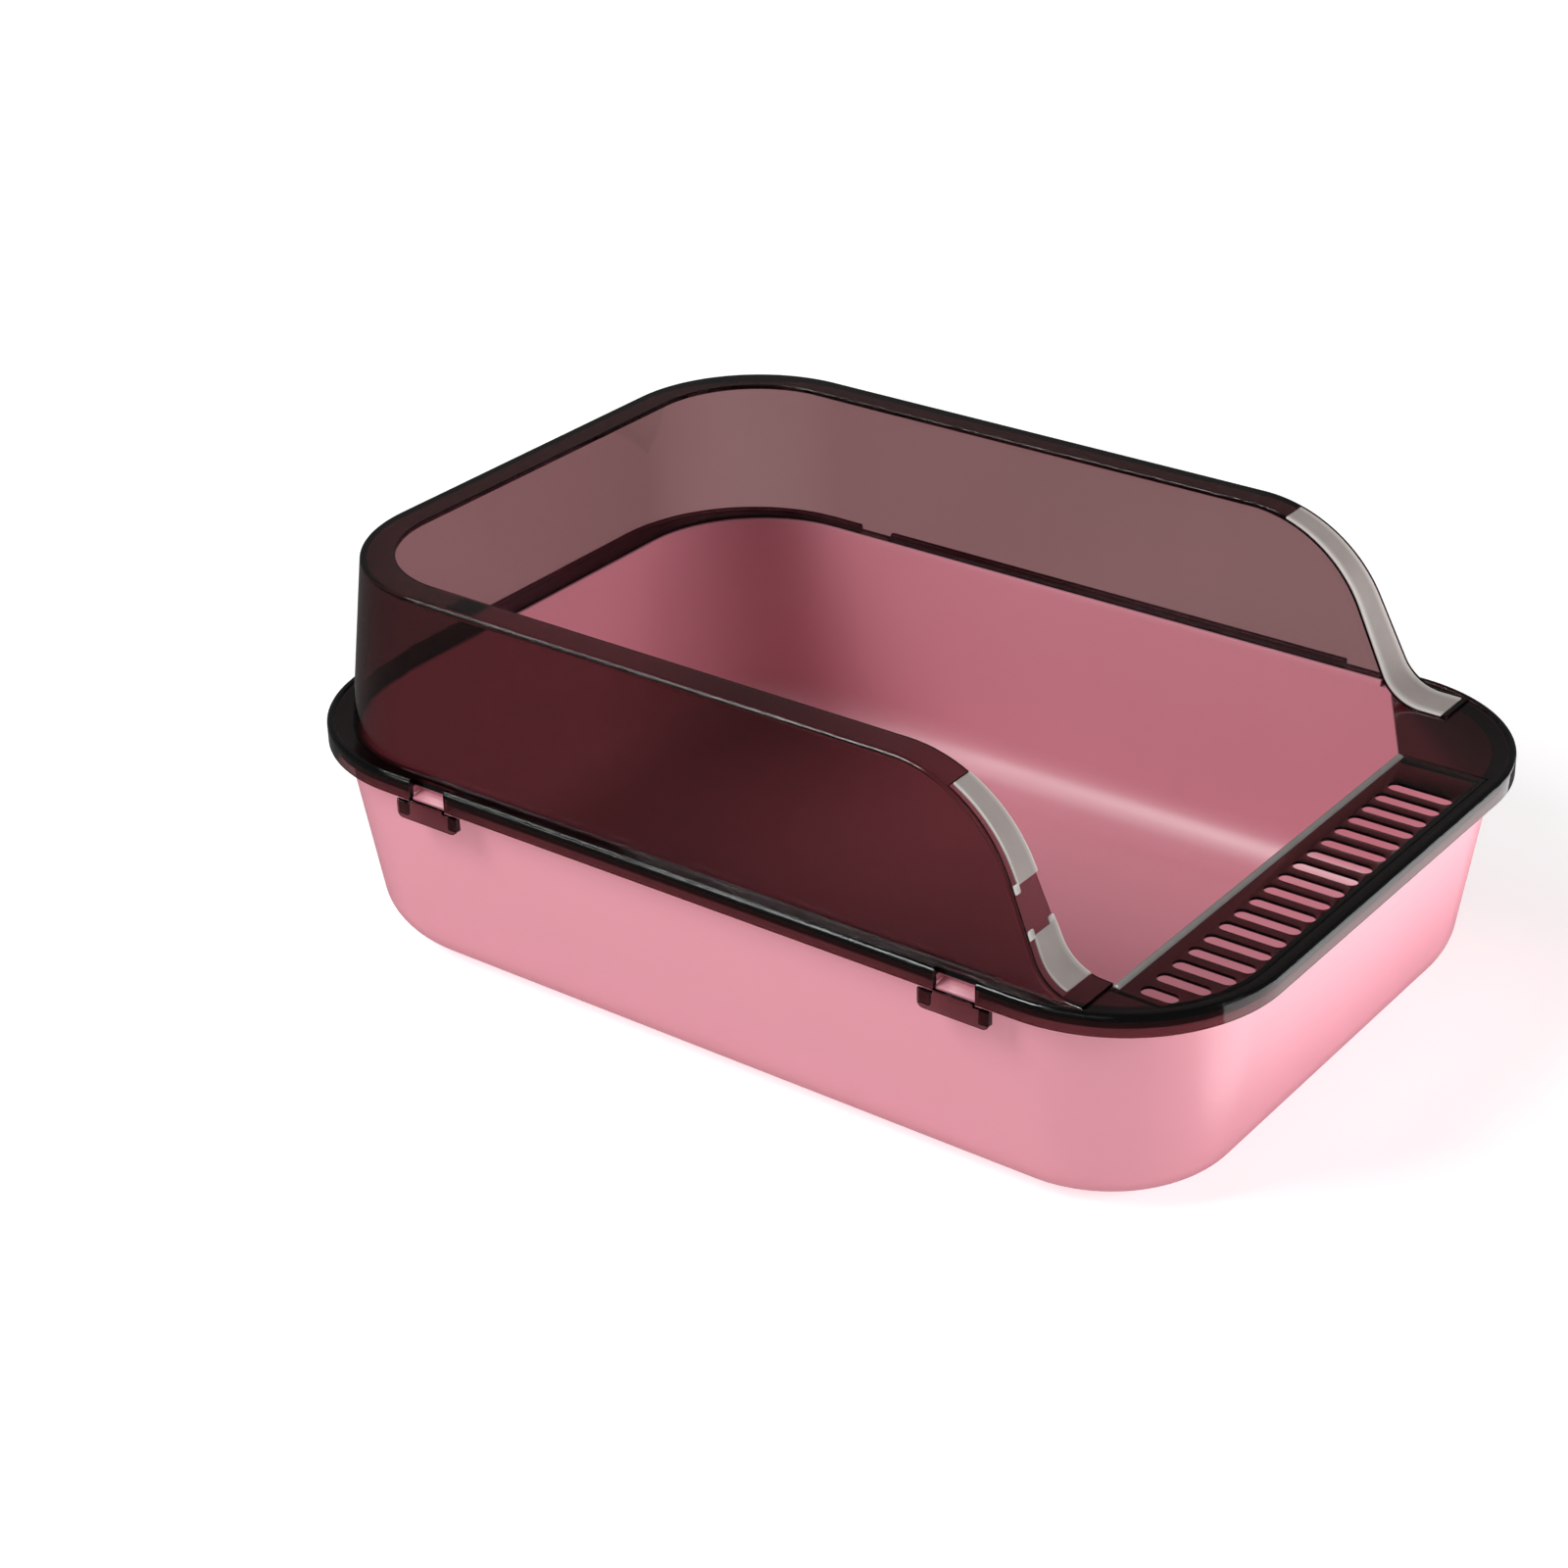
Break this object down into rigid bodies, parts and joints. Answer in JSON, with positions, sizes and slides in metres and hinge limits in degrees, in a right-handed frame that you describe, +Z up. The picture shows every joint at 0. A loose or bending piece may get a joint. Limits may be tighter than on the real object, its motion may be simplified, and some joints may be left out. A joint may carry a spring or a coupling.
{
  "type": "cat litter box",
  "caption": "Cat litter box: rounded open tray under a see-through open-topped surround with a low slotted step at the entry and snap clips.",
  "frame": {"origin": "centre of the bounding box, on the surface that the tray stands on", "axes": "+Y towards the back, along the length; the entry faces -Y; +X to the right seen from the entry's outside; +Z up"},
  "size_m": [0.3528, 0.5, 0.1957],
  "materials": {
    "pink_plastic": "satin injection-moulded pink polypropylene",
    "smoked_plastic": "polished, see-through smoked plastic with a maroon tint",
    "step_plastic": "polished smoked plastic, thicker and darker",
    "clip_plastic": "smoked plastic",
    "frosted_strip": "frosted grey-white plastic strip"
  },
  "bodies": {
    "tray": {"tray": "pink_plastic"},
    "hood": {"hood": "smoked_plastic", "step_panel": "step_plastic", "guard_left_upper": "frosted_strip", "guard_left_lower": "frosted_strip", "guard_right": "frosted_strip"},
    "clip_left_front": {"clip_left_front": "clip_plastic"},
    "clip_left_rear": {"clip_left_rear": "clip_plastic"},
    "clip_right_front": {"clip_right_front": "clip_plastic"},
    "clip_right_rear": {"clip_right_rear": "clip_plastic"}
  },
  "joints": [
    {"name": "hood_lift", "type": "slide", "parent": "tray", "child": "hood", "axis": [0, 0, 1], "range_m": [0, 0.13]},
    {"name": "clip_left_front_flex", "type": "hinge", "parent": "hood", "child": "clip_left_front", "pos_m": [-0.1764, -0.143, 0.1029], "axis": [0, 1, 0], "range_deg": [0, 12], "stiffness_Nm_per_rad": 0.05},
    {"name": "clip_left_rear_flex", "type": "hinge", "parent": "hood", "child": "clip_left_rear", "pos_m": [-0.1764, 0.143, 0.1029], "axis": [0, 1, 0], "range_deg": [0, 12], "stiffness_Nm_per_rad": 0.05},
    {"name": "clip_right_front_flex", "type": "hinge", "parent": "hood", "child": "clip_right_front", "pos_m": [0.1764, -0.143, 0.1029], "axis": [0, -1, 0], "range_deg": [0, 12], "stiffness_Nm_per_rad": 0.05},
    {"name": "clip_right_rear_flex", "type": "hinge", "parent": "hood", "child": "clip_right_rear", "pos_m": [0.1764, 0.143, 0.1029], "axis": [0, -1, 0], "range_deg": [0, 12], "stiffness_Nm_per_rad": 0.05}
  ]
}
